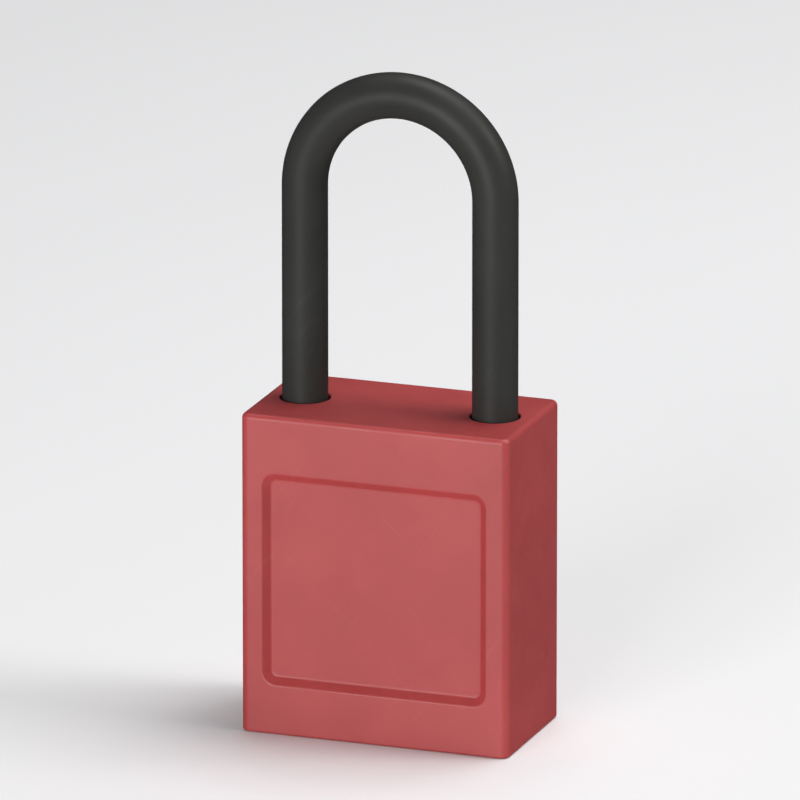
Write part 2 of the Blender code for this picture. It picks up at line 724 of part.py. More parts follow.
def pin_stack(index, height, key_length, brass, steel):
    """A key pin in the plug, and a driver pin and its spring in the housing, along +X."""
    along = Euler((0, math.pi / 2, 0))
    outer = PLUG_R - RUN
    key_profile = [
        (0, outer - key_length),
        (PIN_R - PIN_TIP, outer - key_length),
        (PIN_R, outer - key_length + PIN_TIP),
        (PIN_R, outer - PIN_CHAMFER),
        (PIN_R - PIN_CHAMFER, outer),
        (0, outer),
    ]
    key_pin = turned(f"key_pin_{index}", key_profile, PIN_SIDES, brass, (0, 0, height), along)
    inner = PLUG_R + SEAM
    driver_profile = [
        (0, inner),
        (PIN_R - PIN_CHAMFER, inner),
        (PIN_R, inner + PIN_CHAMFER),
        (PIN_R, inner + DRIVER_L - PIN_CHAMFER),
        (PIN_R - PIN_CHAMFER, inner + DRIVER_L),
        (0, inner + DRIVER_L),
    ]
    turned(f"driver_pin_{index}", driver_profile, PIN_SIDES, steel, (0, 0, height), along)
    spring_name = f"pin_spring_{index}"
    low = inner + DRIVER_L + PIN_SPRING_PLAY
    high = RIDGE_X - COVER_T - PIN_SPRING_PLAY
    coil(spring_name, PIN_SPRING_R, PIN_SPRING_WIRE_R, low, high, 4, 9, steel, (0, 0, height), along)
    return key_pin


# ---------------------------------------------------------------- assembly


def main():
    for obj in list(bpy.data.objects):
        bpy.data.objects.remove(obj)

    red = material("red_nylon", (0.46, 0.045, 0.045), 0.42, 0.0)
    black = material("black_nylon", (0.022, 0.023, 0.021), 0.5, 0.0)
    grey = material("grey_nylon", (0.12, 0.12, 0.12), 0.6, 0.0)
    zinc = material("cast_zinc", (0.55, 0.56, 0.58), 0.45, 1.0)
    brass = material("brass", (0.78, 0.57, 0.28), 0.35, 1.0)
    steel = material("steel", (0.62, 0.62, 0.64), 0.28, 1.0)

    body_shell(red)
    bottom_cap(red)
    for number, (x, y) in enumerate(cap_screw_places(), 1):
        cap_screw(f"cap_screw_{number}", x, y, steel)
    inner_carrier(grey)
    locking_block(zinc)
    retainer(steel)
    stay_screw(steel)
    cylinder_housing(zinc)
    chamber_cover(brass)

    key_pins = [
        pin_stack(index, height, length, brass, steel)
        for index, (height, length) in enumerate(zip(pin_heights(), KEY_PIN_LENGTHS), 1)
    ]
    hang(empty("plug_axis", (0, 0, 0)), plug(brass), plug_clip(steel), cam(zinc), *key_pins)

    hang(empty("shackle_line", (-LEG_X, 0, BODY_H)), shackle(black))
    low, high = SPRING_FLOOR + SEAM, LONG_TIP_Z - SEAM
    coil("shackle_spring", SPRING_R, SPRING_WIRE_R, low, high, SPRING_TURNS, 12, steel, (-LEG_X, 0, 0))
    ball("locking_ball_short", BALL_X, steel)
    ball("locking_ball_long", -BALL_X, steel)


main()
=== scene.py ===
"""The looks of a lockout padlock: moulded red body, black nylon shackle, and the whole lock mechanism inside.

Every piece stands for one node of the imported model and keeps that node's size and place. Metres throughout,
+Z up, -Y is the front. The origin is the centre of the body's underside.
"""

import json
import math

import bmesh
import bpy
from mathutils import Euler, Matrix, Vector

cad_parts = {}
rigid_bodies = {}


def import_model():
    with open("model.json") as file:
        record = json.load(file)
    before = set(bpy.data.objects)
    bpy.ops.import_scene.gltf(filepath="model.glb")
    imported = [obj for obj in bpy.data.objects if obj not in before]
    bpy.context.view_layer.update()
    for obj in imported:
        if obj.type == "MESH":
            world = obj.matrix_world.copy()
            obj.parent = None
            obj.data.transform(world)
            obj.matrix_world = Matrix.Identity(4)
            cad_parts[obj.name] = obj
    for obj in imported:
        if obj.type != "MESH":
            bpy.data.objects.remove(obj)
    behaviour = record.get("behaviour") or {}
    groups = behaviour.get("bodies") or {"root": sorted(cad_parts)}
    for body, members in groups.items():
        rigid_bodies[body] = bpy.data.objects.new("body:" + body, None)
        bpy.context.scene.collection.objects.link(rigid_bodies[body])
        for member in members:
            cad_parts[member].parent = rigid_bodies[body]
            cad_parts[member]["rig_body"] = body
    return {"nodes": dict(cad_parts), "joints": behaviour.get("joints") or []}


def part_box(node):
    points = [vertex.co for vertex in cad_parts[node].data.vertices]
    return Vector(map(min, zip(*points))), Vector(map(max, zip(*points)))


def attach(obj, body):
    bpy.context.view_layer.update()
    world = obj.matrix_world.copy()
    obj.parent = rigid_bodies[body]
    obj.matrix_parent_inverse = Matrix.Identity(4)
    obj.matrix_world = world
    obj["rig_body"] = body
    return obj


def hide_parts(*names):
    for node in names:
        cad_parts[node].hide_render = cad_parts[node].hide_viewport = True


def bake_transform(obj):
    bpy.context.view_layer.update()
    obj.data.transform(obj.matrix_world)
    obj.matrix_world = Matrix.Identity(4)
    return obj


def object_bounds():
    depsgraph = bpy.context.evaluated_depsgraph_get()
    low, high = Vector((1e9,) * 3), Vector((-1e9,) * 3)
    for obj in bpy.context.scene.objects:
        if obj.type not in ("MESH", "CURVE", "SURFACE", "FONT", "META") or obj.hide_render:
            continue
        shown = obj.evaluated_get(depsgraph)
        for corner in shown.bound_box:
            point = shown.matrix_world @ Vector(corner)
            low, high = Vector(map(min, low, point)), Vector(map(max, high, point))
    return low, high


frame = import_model()
CAD_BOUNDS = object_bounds()

MM = 0.001
SEAM = 0.3 * MM  # between pieces that stay still on each other, and round the legs
RUN = 0.15 * MM  # round the plug, the pins and the balls
REACH = 1.0 * MM  # how far a cutter runs past the face it cuts
PAST = 0.004 * MM  # how far a flared mouth runs past its face, so that no ring of the cutter lies in the face
WELD = 0.0005 * MM  # points closer than this become one
TURN_STEPS = 64  # sides of a turned piece

JOINTS = {joint["name"]: joint for joint in frame["joints"]}
LIFT = JOINTS["shackle_lift"]["range_m"][1]
BALL_TRAVEL = JOINTS["ball_short_slide"]["range_m"][1]
PLUG_TURN = math.radians(JOINTS["plug_turn"]["range_deg"][1])

# Body, from its node's box. X and Y are half sizes.
SHELL_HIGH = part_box("body_shell")[1]
BODY_X, BODY_Y, BODY_H = SHELL_HIGH.x, SHELL_HIGH.y, SHELL_HIGH.z
CORNER_R = 1.2 * MM
RIM_R = 0.7 * MM
FOOT_R = 0.35 * MM
CAVITY_X = BODY_X - 2.0 * MM  # inside the side walls
CAVITY_Y = BODY_Y - 2.3 * MM
CAVITY_TOP = BODY_H - 3.5 * MM
CAVITY_R = 0.8 * MM
PANEL_X = 14.9 * MM  # half the width and half the height of the panel's flat floor
PANEL_Z = 13.8 * MM
PANEL_MIDDLE = 21.7 * MM  # above the underside
PANEL_R = 0.9 * MM
PANEL_DEPTH = 1.0 * MM  # and the width of the sloping border round the floor
PANEL_EDGE = 0.22 * MM

# Shackle, from its node's box
BOW_LOW, BOW_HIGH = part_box("shackle")
LEG_R = BOW_HIGH.y
LEG_X = BOW_HIGH.x - LEG_R
BOW_Z = BOW_HIGH.z - LEG_X - LEG_R
LONG_TIP = BOW_LOW.z
SHORT_TIP = BODY_H - LIFT + 0.7 * MM
LEG_HOLE_R = LEG_R + SEAM
NECK_R = 2.0 * MM  # of the long leg, above its collar
COLLAR_TOP = LONG_TIP + 3.5 * MM
PARTING_H = 0.02 * MM  # how far the moulding's parting line stands out, and half its width
PARTING_W = 0.08 * MM

# Locking balls, from their nodes' boxes
BALL_LOW, BALL_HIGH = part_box("locking_ball_short")
BALL_R = (BALL_HIGH.z - BALL_LOW.z) / 2
BALL_X = (BALL_HIGH.x + BALL_LOW.x) / 2
BALL_Z = (BALL_HIGH.z + BALL_LOW.z) / 2

# Cylinder
PLUG_LOW, PLUG_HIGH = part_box("plug")
PLUG_R = 5.0 * MM
PLUG_HEAD_R = 5.7 * MM
PLUG_HEAD_TOP = PLUG_LOW.z + 1.1 * MM
HOUSING_LOW, HOUSING_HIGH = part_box("cylinder_housing")
NOSE_R = 6.3 * MM
NOSE_TOP = 3.3 * MM
BARREL_R = 7.2 * MM
RIDGE_Y = 2.9 * MM
PIN_R = 1.2 * MM
PIN_BORE_R = PIN_R + RUN
PIN_COUNT = 6

# Screws
CAP_SCREWS = ("cap_screw_1", "cap_screw_2")
STAY_R = 1.45 * MM  # the cylinder screw's shank

# Stage
VIEW_FROM = (19.8, 16.6)  # azimuth and elevation, in degrees
VIEW_DISTANCE = 2.2
VIEW_LENS = 740
LIT_POINT = Vector((0, 0, 35 * MM))

NOISE_SPAN = (0.3, 0.7)  # nearly all of a noise's values lie between these


# ---------------------------------------------------------------- materials


def new_material(name, roughness, metallic):
    """A node material's tree, its shader, and coordinates that move with the piece."""
    material = bpy.data.materials.new(name)
    material.use_nodes = True
    tree = material.node_tree
    shader = tree.nodes["Principled BSDF"]
    shader.inputs["Roughness"].default_value = roughness
    shader.inputs["Metallic"].default_value = metallic
    place = tree.nodes.new("ShaderNodeTexCoord").outputs["Object"]
    return material, tree, shader, place


def noise(tree, place, scale, detail=3.0, roughness=0.55, stretch=(1, 1, 1)):
    """A noise from 0 to 1. Scale is in features per metre."""
    mapping = tree.nodes.new("ShaderNodeMapping")
    mapping.inputs["Scale"].default_value = stretch
    tree.links.new(place, mapping.inputs["Vector"])
    texture = tree.nodes.new("ShaderNodeTexNoise")
    texture.inputs["Scale"].default_value = scale
    texture.inputs["Detail"].default_value = detail
    texture.inputs["Roughness"].default_value = roughness
    tree.links.new(mapping.outputs["Vector"], texture.inputs["Vector"])
    return texture.outputs["Fac"]


def remap(tree, value, from_low, from_high, to_low, to_high):
    """Maps one range of a value onto another, and holds it there."""
    node = tree.nodes.new("ShaderNodeMapRange")
    node.inputs["From Min"].default_value = from_low
    node.inputs["From Max"].default_value = from_high
    node.inputs["To Min"].default_value = to_low
    node.inputs["To Max"].default_value = to_high
    tree.links.new(value, node.inputs["Value"])
    return node.outputs["Result"]


def combine(tree, operation, first, second):
    """Maths on two values, either of which may be a plain number."""
    node = tree.nodes.new("ShaderNodeMath")
    node.operation = operation
    for socket, value in zip(node.inputs, (first, second)):
        if isinstance(value, (int, float)):
            socket.default_value = value
        else:
            tree.links.new(value, socket)
    return node.outputs["Value"]


def blend_colour(tree, factor, low, high):
    """Low where factor is 0 and high where it is 1. Each is a colour or another node's output."""
    node = tree.nodes.new("ShaderNodeMix")
    node.data_type = "RGBA"
    tree.links.new(factor, node.inputs["Factor"])
    for socket, value in ((node.inputs["A"], low), (node.inputs["B"], high)):
        if isinstance(value, tuple):
            socket.default_value = (*value, 1.0)
        else:
            tree.links.new(value, socket)
    return node.outputs["Result"]


def edge_mask(tree, radius):
    """1 on edges and corners, 0 on flats and gentle curves."""
    soft = tree.nodes.new("ShaderNodeBevel")
    soft.samples = 6
    soft.inputs["Radius"].default_value = radius
    surface = tree.nodes.new("ShaderNodeNewGeometry")
    dot = tree.nodes.new("ShaderNodeVectorMath")
    dot.operation = "DOT_PRODUCT"
    tree.links.new(soft.outputs["Normal"], dot.inputs[0])
    tree.links.new(surface.outputs["Normal"], dot.inputs[1])
    flat, sharp = 0.995, 0.9
    return remap(tree, dot.outputs["Value"], flat, sharp, 0.0, 1.0)


def clouded(tree, place, scale, detail, low, high, span=NOISE_SPAN):
    """A colour that drifts between low and high."""
    cloud = remap(tree, noise(tree, place, scale, detail), *span, 0.0, 1.0)
    return blend_colour(tree, cloud, low, high)


def vary_roughness(tree, shader, value, less, more):
    """Lets a noise take the roughness from that much less to that much more."""
    middle = shader.inputs["Roughness"].default_value
    rough = remap(tree, value, *NOISE_SPAN, middle - less, middle + more)
    tree.links.new(rough, shader.inputs["Roughness"])


def bump(tree, shader, layers):
    """Stacks height layers, each (height, depth in metres, strength), into the shader's normal."""
    normal = None
    for height, depth, strength in layers:
        node = tree.nodes.new("ShaderNodeBump")
        node.inputs["Distance"].default_value = depth
        node.inputs["Strength"].default_value = strength
        tree.links.new(height, node.inputs["Height"])
        if normal:
            tree.links.new(normal, node.inputs["Normal"])
        normal = node.outputs["Normal"]
    tree.links.new(normal, shader.inputs["Normal"])


def scratches(tree, place, scale, stretch, slant, rarity):
    """Fine lines, 1 on a scratch and 0 elsewhere, slanted by these angles. A higher rarity leaves fewer."""
    turned = tree.nodes.new("ShaderNodeMapping")
    turned.inputs["Rotation"].default_value = slant
    tree.links.new(place, turned.inputs["Vector"])
    lines = noise(tree, turned.outputs["Vector"], scale, 1.0, 0.4, stretch)
    where = remap(tree, noise(tree, place, 110, 2.0), 0.4, 0.62, 0.72, 1.12)
    return remap(tree, combine(tree, "MULTIPLY", lines, where), rarity, rarity + 0.06, 0.0, 1.0)


def nylon(name, deep, light, worn, roughness, gloss, grain):
    """Moulded nylon: cloudy colour, a fine spark-eroded grain, light handling scuffs and paler edges."""
    material, tree, shader, place = new_material(name, roughness, 0.0)
    shader.inputs["Specular IOR Level"].default_value = gloss
    colour = clouded(tree, place, 75, 4.0, deep, light, (0.32, 0.68))
    edges = combine(tree, "MULTIPLY", edge_mask(tree, 0.35 * MM), noise(tree, place, 420, 3.0))
    rising = scratches(tree, place, 70, (1, 1, 42), (0.5, 0.9, 0.2), 0.72)
    falling = scratches(tree, place, 90, (1, 1, 36), (-0.6, -0.7, 1.1), 0.73)
    scuffs = combine(tree, "MAXIMUM", rising, falling)
    wear = combine(tree, "MAXIMUM", edges, combine(tree, "MULTIPLY", scuffs, 0.07))
    tree.links.new(blend_colour(tree, wear, colour, worn), shader.inputs["Base Color"])
    vary_roughness(tree, shader, noise(tree, place, 160, 4.0), 0.05, 0.06)
    fine = noise(tree, place, 4200, 2.0)
    waves = noise(tree, place, 130, 2.0)
    bump(tree, shader, ((waves, 0.12 * MM, 0.12), (fine, 0.02 * MM, grain), (scuffs, 0.005 * MM, -0.25)))
    return material


def cast_metal(name, dark, bright, roughness):
    """A bare die casting: dull skin, fine pits and slightly brighter edges."""
    material, tree, shader, place = new_material(name, roughness, 1.0)
    colour = clouded(tree, place, 240, 5.0, dark, bright)
    edges = edge_mask(tree, 0.25 * MM)
    polish = 1.35
    rubbed = tuple(min(1.0, channel * polish) for channel in bright)
    tree.links.new(blend_colour(tree, edges, colour, rubbed), shader.inputs["Base Color"])
    skin = noise(tree, place, 1500, 4.0)
    vary_roughness(tree, shader, skin, 0.08, 0.1)
    pits = remap(tree, noise(tree, place, 2600, 2.0), 0.28, 0.4, 0.0, 1.0)
    bump(tree, shader, ((skin, 0.03 * MM, 0.35), (pits, 0.02 * MM, 0.4)))
    return material


def turned_metal(name, dark, bright, roughness, tooling, pitch):
    """Metal off a lathe, with stain, handling marks, and tool RINGS about Z or tool BANDS across X."""
    material, tree, shader, place = new_material(name, roughness, 1.0)
    colour = clouded(tree, place, 330, 4.0, bright, dark, (0.35, 0.7))
    marks = scratches(tree, place, 200, (1, 14, 1), (0.4, 0.3, 0.9), 0.7)
    tree.links.new(blend_colour(tree, marks, colour, bright), shader.inputs["Base Color"])
    grooves = tree.nodes.new("ShaderNodeTexWave")
    grooves.wave_type = tooling
    grooves.rings_direction = "Z"
    grooves.bands_direction = "X"
    grooves.inputs["Scale"].default_value = pitch
    grooves.inputs["Distortion"].default_value = 0.8
    grooves.inputs["Detail"].default_value = 2.0
    tree.links.new(place, grooves.inputs["Vector"])
    vary_roughness(tree, shader, noise(tree, place, 500, 3.0), 0.06, 0.1)
    bump(tree, shader, ((grooves.outputs["Fac"], 0.006 * MM, 0.5), (marks, 0.008 * MM, -0.4)))
    return material


def plated_steel(name, dark, bright, roughness):
    """Zinc-plated or polished steel: bright, with faint clouding and hairline scratches."""
    material, tree, shader, place = new_material(name, roughness, 1.0)
    cloud = noise(tree, place, 520, 4.0)
    colour = blend_colour(tree, remap(tree, cloud, *NOISE_SPAN, 0.0, 1.0), dark, bright)
    lines = scratches(tree, place, 240, (14, 1, 2), (0.7, 0.2, 0.5), 0.69)
    tree.links.new(blend_colour(tree, lines, colour, bright), shader.inputs["Base Color"])
    vary_roughness(tree, shader, cloud, 0.05, 0.08)
    fine = noise(tree, place, 3000, 2.0)
    bump(tree, shader, ((fine, 0.004 * MM, 0.3), (lines, 0.006 * MM, -0.4)))
    return material


RED = nylon(
    "red_nylon",
    deep=(0.37, 0.041, 0.042),
    light=(0.42, 0.049, 0.05),
    worn=(0.54, 0.15, 0.15),
    roughness=0.48,
    gloss=0.6,
    grain=0.4,
)
BLACK = nylon(
    "black_nylon",
    deep=(0.027, 0.0276, 0.025),
    light=(0.034, 0.0347, 0.0315),
    worn=(0.08, 0.08, 0.075),
    roughness=0.48,
    gloss=0.18,
    grain=0.4,
)
GREY = nylon(
    "grey_nylon",
    deep=(0.10, 0.10, 0.10),
    light=(0.14, 0.14, 0.14),
    worn=(0.24, 0.24, 0.24),
    roughness=0.55,
    gloss=0.3,
    grain=0.25,
)
ZINC = cast_metal("cast_zinc", (0.36, 0.37, 0.38), (0.52, 0.53, 0.55), 0.42)
BRASS = turned_metal("turned_brass", (0.52, 0.34, 0.13), (0.80, 0.58, 0.27), 0.27, "RINGS", 1500)
PIN_BRASS = turned_metal("pin_brass", (0.58, 0.38, 0.16), (0.84, 0.63, 0.32), 0.24, "BANDS", 1200)
STEEL = plated_steel("plated_steel", (0.46, 0.46, 0.48), (0.66, 0.66, 0.69), 0.24)
SPRING_STEEL = plated_steel("spring_steel", (0.34, 0.34, 0.36), (0.52, 0.52, 0.55), 0.3)
BALL_STEEL = plated_steel("ball_steel", (0.58, 0.58, 0.60), (0.74, 0.74, 0.76), 0.14)


# ---------------------------------------------------------------- meshes


def flat_ring(outline, height):
    return [Vector((x, y, height)) for x, y in outline]


def tube_mesh(rings):
    """A closed bmesh over rings of the same number of points, with flat ends."""
    bm = bmesh.new()
    rows = [[bm.verts.new(point) for point in ring] for ring in rings]
    for low, high in zip(rows, rows[1:]):
        for index in range(len(low)):
            after = (index + 1) % len(low)
            bm.faces.new((low[index], low[after], high[after], high[index]))
    bm.faces.new(rows[0][::-1])
    bm.faces.new(rows[-1])
    return bm


def turned_mesh(profile, sides=TURN_STEPS):
    """A closed bmesh: a profile of (radius, height) points turned about Z. It starts and ends on the axis."""
    bm = bmesh.new()
    verts = [bm.verts.new((radius, 0, height)) for radius, height in profile]
    edges = [bm.edges.new(pair) for pair in zip(verts, verts[1:])]
    bmesh.ops.spin(
        bm, geom=verts + edges, cent=(0, 0, 0), axis=(0, 0, 1), angle=2 * math.pi, steps=sides, use_merge=True
    )
    bmesh.ops.remove_doubles(bm, verts=bm.verts, dist=WELD)
    return bm


def joined(bodies):
    """One bmesh out of several (bmesh, matrix) pairs, for a cutter."""
    whole = bmesh.new()
    for body, matrix in bodies:
        bmesh.ops.recalc_face_normals(body, faces=body.faces)
        body.transform(matrix)
        mesh = bpy.data.meshes.new("joined")
        body.to_mesh(mesh)
        body.free()
        whole.from_mesh(mesh)
        bpy.data.meshes.remove(mesh)
    return whole


def solid(name, bm, matrix=Matrix.Identity(4)):
    """A mesh object from bm, in its place in the frame."""
    bmesh.ops.recalc_face_normals(bm, faces=bm.faces)
    bm.transform(matrix)
    mesh = bpy.data.meshes.new(name)
    bm.to_mesh(mesh)
    bm.free()
    made = bpy.data.objects.new(name, mesh)
    bpy.context.scene.collection.objects.link(made)
    return made


def combined(target, operation, *tools):
    """Cuts the tools from the target, or joins them to it, and removes them."""
    for tool in tools:
        boolean = target.modifiers.new(tool.name, "BOOLEAN")
        boolean.operation = operation
        boolean.solver = "EXACT"
        boolean.object = tool
    settle(target)
    for tool in tools:
        mesh = tool.data
        bpy.data.objects.remove(tool)
        bpy.data.meshes.remove(mesh)
    return target


def settle(obj):
    """Applies the object's modifiers."""
    bpy.context.view_layer.update()
    graph = bpy.context.evaluated_depsgraph_get()
    mesh = bpy.data.meshes.new_from_object(obj.evaluated_get(graph))
    obj.modifiers.clear()
    old = obj.data
    obj.data = mesh
    bpy.data.meshes.remove(old)


def dressed(obj, node, material):
    """Finishes obj as the piece that stands for a node: clean shading and its material."""
    bm = bmesh.new()
    bm.from_mesh(obj.data)
    bmesh.ops.remove_doubles(bm, verts=bm.verts, dist=WELD)
    bmesh.ops.dissolve_degenerate(bm, dist=WELD, edges=bm.edges)
    bm.to_mesh(obj.data)
    bm.free()
    obj.data.materials.clear()
    obj.data.materials.append(material)
    obj.data.shade_smooth()
    obj.data.set_sharp_from_angle(angle=math.radians(40))
    weighted = obj.modifiers.new("normals", "WEIGHTED_NORMAL")
    weighted.mode = "FACE_AREA"
    weighted.keep_sharp = True
    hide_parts(node)
    return obj


def piece(obj, node, material):
    """Finishes obj as the piece that stands for a node, and puts it on the node's body."""
    dressed(obj, node, material)
    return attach(obj, frame["nodes"][node]["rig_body"])


def rounded_rectangle(half_x, half_y, radius, steps=8):
    """The outline of a rectangle with round corners."""
    points = []
    for quarter, (sx, sy) in enumerate(((1, 1), (-1, 1), (-1, -1), (1, -1))):
        for step in range(steps + 1):
            angle = math.pi / 2 * (quarter + step / steps)
            x = sx * (half_x - radius) + radius * math.cos(angle)
            y = sy * (half_y - radius) + radius * math.sin(angle)
            points.append((x, y))
    return points


def grown(outline, distance):
    """The outline, anticlockwise, moved outwards by distance, with its corners kept sharp."""
    sharpest = 0.3  # keeps a needle-sharp corner from running far out
    moved = []
    for index, here in enumerate(outline):
        before = Vector(outline[index - 1])
        after = Vector(outline[(index + 1) % len(outline)])
        here = Vector(here)
        first = (here - before).normalized()
        second = (after - here).normalized()
        out = Vector((first.y + second.y, -first.x - second.x)).normalized()
        reach = distance / max(sharpest, out.dot(Vector((first.y, -first.x))))
        moved.append(tuple(here + out * reach))
    return moved


def arc(steps):
    """The angles of a quarter turn, both ends included."""
    return [math.pi / 2 * step / steps for step in range(steps + 1)]


def plate(outline, low, high, foot=0.0, rim=0.0, steps=3):
    """A closed bmesh of the outline from low to high, its edges rounded below by foot and above by rim."""
    rings = []
    for angle in arc(steps) if foot else [math.pi / 2]:
        inset = foot * (1 - math.sin(angle))
        rings.append(flat_ring(grown(outline, -inset), low + foot * (1 - math.cos(angle))))
    for angle in reversed(arc(steps)) if rim else [math.pi / 2]:
        inset = rim * (1 - math.sin(angle))
        rings.append(flat_ring(grown(outline, -inset), high - rim * (1 - math.cos(angle))))
    return tube_mesh(rings)


def sunk(outline, floor, mouth, edge, slope=0.0):
    """A cutter for a recess: its wall leans out by slope, from a filleted floor to a rounded mouth."""
    outer, proud = slope + 2 * edge, mouth + PAST
    wall = [(-2 * edge, floor), (0, floor), (slope, proud), (outer, proud), (outer, mouth + REACH)]
    return tube_mesh([flat_ring(grown(outline, outset), height) for outset, height in softened(wall, edge)])


def softened(profile, radius, steps=3):
    """A turned profile with its corners rounded, apart from the two ends and any too short for it."""
    points = [Vector(point) for point in profile]
    out = [tuple(points[0])]
    share_of_side = 0.45
    for before, here, after in zip(points, points[1:], points[2:]):
        back, on = before - here, after - here
        cut = min(radius, back.length * share_of_side, on.length * share_of_side)
        start, end = here + back.normalized() * cut, here + on.normalized() * cut
        for step in range(steps + 1):
            share = step / steps
            out.append(tuple((1 - share) ** 2 * start + 2 * share * (1 - share) * here + share**2 * end))
    out.append(tuple(points[-1]))
    return out


def hole_profile(radius, low, high, mouth=None, edge=0.0, steps=3):
    """A bore's cutter, from low to high. A mouth between them flares it by edge, upwards out of the piece."""
    points = [(0, low), (radius, low)]
    if mouth is not None:
        for angle in arc(steps):
            outset = edge * (1 - math.cos(angle))
            points.append((radius + outset, mouth + PAST - edge * (1 - math.sin(angle))))
        points.append((radius + edge, high))
    else:
        points.append((radius, high))
    points.append((0, high))
    return points


def middle_of(node):
    """The middle of a node's box."""
    low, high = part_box(node)
    return (low + high) / 2


def at(x=0.0, y=0.0, z=0.0, turn=(0, 0, 0)):
    """The matrix that turns a piece and then moves it there."""
    return Matrix.Translation((x, y, z)) @ Euler(turn).to_matrix().to_4x4()


def along_x(height):
    """Turns a piece made about Z to lie along +X at this height."""
    return at(z=height, turn=(0, math.pi / 2, 0))


def upside_down(x=0.0, y=0.0, z=0.0):
    """Turns a cutter with its mouth upwards to open downwards."""
    return at(x, y, z, (math.pi, 0, 0))


# ---------------------------------------------------------------- body


def body_shell():
    outline = rounded_rectangle(BODY_X, BODY_Y, CORNER_R)
    shell = solid("body_shell_moulding", plate(outline, 0, BODY_H, FOOT_R, RIM_R, 4))
    cavity = rounded_rectangle(CAVITY_X, CAVITY_Y, CAVITY_R, 4)
    mouth = sunk(cavity, -CAVITY_TOP, 0, 0.2 * MM)
    cutters = [solid("cut_cavity", mouth, upside_down())]
    leg_hole = hole_profile(LEG_HOLE_R, CAVITY_TOP - REACH, BODY_H + REACH, BODY_H, 0.25 * MM)
    cutters.append(
        solid("cut_leg_holes", joined((turned_mesh(leg_hole), at(x)) for x in (-LEG_X, LEG_X)))
    )
    panel = rounded_rectangle(PANEL_X, PANEL_Z, PANEL_R, 6)
    for name, turn in (("cut_front_panel", 0), ("cut_back_panel", math.pi)):
        upright = at(z=PANEL_MIDDLE, turn=(math.pi / 2, 0, turn))
        recess = sunk(panel, BODY_Y - PANEL_DEPTH, BODY_Y, PANEL_EDGE, PANEL_DEPTH)
        cutters.append(solid(name, recess, upright))
    combined(shell, "DIFFERENCE", *cutters)
    return piece(shell, "body_shell", RED)


# ---------------------------------------------------------------- shackle


def shackle_angles():
    """Round the rod from its outer side, closer together by the two parting lines."""
    fine = [-9, -6, -4, -2.5, -1.2, 0, 1.2, 2.5, 4, 6, 9]
    coarse = list(range(15, 166, 6))
    degrees = [angle % 360 for angle in fine]
    degrees += coarse + [180 + angle for angle in fine] + [180 + angle for angle in coarse]
    return [math.radians(angle) for angle in sorted(degrees)]


def shackle_ring(centre, outwards, radius, parting):
    """A ring of the rod. Parting is the height of the moulding's parting line on it."""
    ring = []
    for angle in shackle_angles():
        nearest = min(angle, abs(angle - math.pi), 2 * math.pi - angle)
        ridge = parting * math.exp(-((radius * nearest / PARTING_W) ** 2))
        spoke = outwards * math.cos(angle) + Vector((0, 1, 0)) * math.sin(angle)
        ring.append(centre + spoke * (radius + ridge))
    return ring


def shackle():
    right, left = Vector((1, 0, 0)), Vector((-1, 0, 0))
    tip_in, tip_rise = 1.2 * MM, 1.3 * MM
    straight_steps, bow_steps = 12, 72
    rings = []
    for angle in arc(6):
        centre = Vector((LEG_X, 0, SHORT_TIP + tip_rise * (1 - math.cos(angle))))
        rings.append(shackle_ring(centre, right, LEG_R - tip_in * (1 - math.sin(angle)), 0))
    line_start = SHORT_TIP + 3 * MM
    for step in range(straight_steps + 1):
        height = line_start + (BOW_Z - line_start) * step / straight_steps
        rings.append(shackle_ring(Vector((LEG_X, 0, height)), right, LEG_R, PARTING_H if step else 0))
    for step in range(1, bow_steps + 1):
        angle = math.pi * step / bow_steps
        outwards = Vector((math.cos(angle), 0, math.sin(angle)))
        rings.append(shackle_ring(Vector((0, 0, BOW_Z)) + outwards * LEG_X, outwards, LEG_R, PARTING_H))
    neck_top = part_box("shackle_retainer")[1].z + 0.4 * MM
    line_end = neck_top + 1.5 * MM
    for step in range(1, straight_steps + 1):
        height = BOW_Z + (line_end - BOW_Z) * step / straight_steps
        parting = PARTING_H if step < straight_steps else 0
        rings.append(shackle_ring(Vector((-LEG_X, 0, height)), left, LEG_R, parting))
    soft, bevel = 0.3 * MM, 0.6 * MM
    foot = [(neck_top + soft, LEG_R), (neck_top, LEG_R - soft), (neck_top, NECK_R + soft)]
    foot += [(neck_top - soft, NECK_R), (COLLAR_TOP + soft, NECK_R), (COLLAR_TOP, NECK_R + soft)]
    foot += [(COLLAR_TOP, LEG_R - soft), (COLLAR_TOP - soft, LEG_R)]
    foot += [(LONG_TIP + bevel, LEG_R), (LONG_TIP + bevel / 3, LEG_R - bevel / 3), (LONG_TIP, LEG_R - bevel)]
    for height, radius in foot:
        rings.append(shackle_ring(Vector((-LEG_X, 0, height)), left, radius, 0))
    bow = solid("shackle_rod", tube_mesh(rings))
    lean = math.atan2(BALL_TRAVEL, LIFT)
    length = math.hypot(BALL_TRAVEL, LIFT)
    reach = BALL_R + RUN
    bottom = [(reach * math.sin(a), -reach * math.cos(a)) for a in arc(10)]
    top = [(r, length - z) for r, z in reversed(bottom)]
    for side in (1, -1):
        way = at(side * BALL_X, 0, BALL_Z, (0, math.pi + side * lean, 0))
        combined(bow, "DIFFERENCE", solid("cut_notch", turned_mesh(bottom + top, 48), way))
    return piece(bow, "shackle", BLACK)


def shackle_retainer():
    low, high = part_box("shackle_retainer")
    slot_r = NECK_R + 0.35 * MM
    bend = [math.pi * step / 24 for step in range(25)]
    outline = [(low.x, -slot_r)]
    outline += [(low.x, low.y), (high.x, low.y), (high.x, high.y), (low.x, high.y), (low.x, slot_r)]
    outline += [(-LEG_X + slot_r * math.sin(a), slot_r * math.cos(a)) for a in bend]
    edge = 0.12 * MM
    fork = solid("retainer_fork", plate(outline, low.z, high.z, edge, edge))
    return piece(fork, "shackle_retainer", STEEL)


